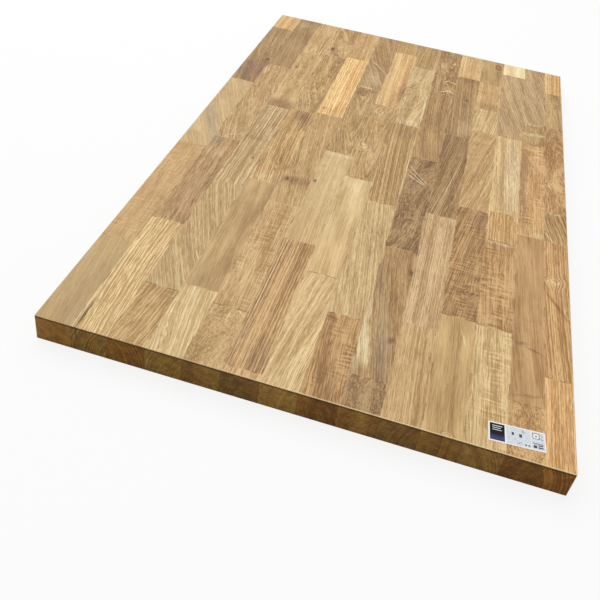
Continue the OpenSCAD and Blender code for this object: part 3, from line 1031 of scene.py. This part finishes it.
bpy.context.scene.collection.objects.link(paper_label)
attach(paper_label, "root")
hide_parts("label")
print("label faces", len(label_mesh.polygons))

# %% [markdown]
# Coated paper has a faint tooth, and ink lies on it a little unevenly. Fine print is too small
# to read at this size, so it is drawn as soft broken rows and not as letters.

# %% Paper and ink
ROW_HEIGHTS = {"fine": 1.9, "box": 1.4, "bars": 1.2}
PRINT_SHARES = {"fine": 0.42, "box": 0.55, "bars": 0.95}


def label_ink(kind):
    """The material of one kind of printed block."""
    material = bpy.data.materials.new("label_" + kind)
    material.use_nodes = True
    r = Recipe(material.node_tree)
    shader = next(n for n in material.node_tree.nodes if n.type == "BSDF_PRINCIPLED")
    mapping = r.tree.nodes.new("ShaderNodeMapping")
    r.feed(mapping.inputs["Vector"], r.step("ShaderNodeTexCoord", out=3))
    mapping.vector_type = "TEXTURE"
    mapping.inputs["Location"].default_value = (*LABEL_MIDDLE, 0)
    mapping.inputs["Rotation"].default_value = (0, 0, LABEL_TURN)
    mapping.inputs["Scale"].default_value = (MM, MM, MM)
    x, y, _ = r.parts(mapping.outputs[0])
    tooth = r.grain(r.point(r.times(x, 6.0), r.times(y, 6.0), 0.0), 3.0, 0.6)
    paper = r.blend(tooth, srgb(243, 245, 246), srgb(252, 252, 252))
    if kind == "plain":
        colour = paper
    elif kind == "dark":
        uneven_ink = r.grain(r.point(r.times(x, 0.3), r.times(y, 0.35), 2.0), 3.0, 0.6)
        ink = r.blend(r.ease(uneven_ink, 0.4, 0.7), srgb(6, 6, 9), srgb(20, 20, 28))
        lower = r.ease(y, -2.0, -8.0)
        colour = r.blend(r.times(lower, uneven_ink, 0.8), ink, srgb(96, 98, 160))
    elif kind == "ink":
        colour = r.blend(r.times(tooth, 0.4), srgb(52, 54, 60), srgb(120, 122, 128))
    else:
        rows_up = r.times(y, 1 / ROW_HEIGHTS[kind])
        row_wave = r.sum("PINGPONG", rows_up, 0.5)
        words = r.grain(r.point(r.times(x, 0.9), r.sum("FLOOR", rows_up), 5.0), 2.0)
        printed = r.times(r.ease(row_wave, 0.18, 0.34), r.ease(words, 0.42, 0.50),
                          PRINT_SHARES[kind])
        tint = r.blend(0.5, paper, srgb(222, 234, 243))
        smudge = r.grain(r.point(r.times(x, 1 / 4.5), r.times(y, 1 / 5.0), 7.0), 1.0)
        tint = r.blend(r.ease(smudge, 0.55, 0.72, 0.0, 0.5), tint, srgb(150, 164, 186))
        colour = r.blend(printed, tint, srgb(70, 76, 90))
    r.feed(shader.inputs["Base Color"], colour)
    r.feed(shader.inputs["Roughness"], r.ease(tooth, 0.3, 0.7, 0.42, 0.52))
    shader.inputs["Specular IOR Level"].default_value = 0.2
    bump = r.tree.nodes.new("ShaderNodeBump")
    bump.inputs["Strength"].default_value = 0.15
    bump.inputs["Distance"].default_value = 0.05 * MM
    r.feed(bump.inputs["Height"], tooth)
    r.feed(shader.inputs["Normal"], bump.outputs[0])
    return material


for ink in INKS:
    label_mesh.materials.append(label_ink(ink))
print("label inks", len(label_mesh.materials))

# %% [markdown]
# ## Floor
# The panel lies on a plain white floor. A camera ray sees it almost white, and a part of the
# real diffuse floor is mixed in, so the soft shadow along the panel's foot stays. The floor lies
# a fifth of a millimetre under the panel, so that the two faces don't flicker.

# %% The floor
FLOOR_LEVEL = -0.2 * MM
FLOOR_HALF = 30
GLOW_SHARE = 0.85

floor_mesh = bpy.data.meshes.new("floor")
ground = bmesh.new()
bmesh.ops.create_grid(ground, x_segments=1, y_segments=1, size=FLOOR_HALF)
bmesh.ops.translate(ground, vec=(0, 0, FLOOR_LEVEL), verts=ground.verts)
ground.to_mesh(floor_mesh)
ground.free()
floor = bpy.data.objects.new("floor", floor_mesh)
bpy.context.scene.collection.objects.link(floor)

white = bpy.data.materials.new("white_floor")
white.use_nodes = True
white.node_tree.nodes.clear()
r = Recipe(white.node_tree)
diffuse = r.step("ShaderNodeBsdfDiffuse", srgb(240, 240, 240))
glow = r.step("ShaderNodeEmission", (1, 1, 1, 1), 1.0)
camera_sees = r.times(r.step("ShaderNodeLightPath", out=0), GLOW_SHARE)
both = r.step("ShaderNodeMixShader", camera_sees, diffuse, glow)
r.feed(white.node_tree.nodes.new("ShaderNodeOutputMaterial").inputs[0], both)
floor_mesh.materials.append(white)
print("floor at", FLOOR_LEVEL)

# %% [markdown]
# ## World and lamp
# An even world fills the shadows, as the pale walls of a studio do. The camera sees it white,
# and the panel gets half of that. One very large lamp high overhead adds a soft direction. The
# two together are at a level where a colour on the face comes out about as it is written.

# %% The world and the lamp
FILL, BACKGROUND = 0.5, 1.0
LAMP_SIZE = 3.0
LAMP_WATTS = 60

world = bpy.data.worlds.new("studio")
bpy.context.scene.world = world
world.use_nodes = True
world.node_tree.nodes.clear()
r = Recipe(world.node_tree)
level = r.step("ShaderNodeMapRange", r.step("ShaderNodeLightPath", out=0), 0.0, 1.0, FILL,
               BACKGROUND)
sky = r.step("ShaderNodeBackground", (1, 1, 1, 1), level)
r.feed(world.node_tree.nodes.new("ShaderNodeOutputWorld").inputs[0], sky)

lamp_data = bpy.data.lights.new("soft_box", "AREA")
lamp_data.shape = "RECTANGLE"
lamp_data.size = LAMP_SIZE
lamp_data.size_y = LAMP_SIZE
lamp_data.energy = LAMP_WATTS
lamp = bpy.data.objects.new("soft_box", lamp_data)
lamp.location = (-0.9, 0.9, 2.4)
lamp.rotation_euler = (Vector((0, 0, 0)) - Vector(lamp.location)).to_track_quat(
    "-Z", "Y").to_euler()
bpy.context.scene.collection.objects.link(lamp)
bpy.context.scene.view_settings.view_transform = "Standard"
print("lamp", lamp_data.energy, "W")

# %% [markdown]
# ## The end
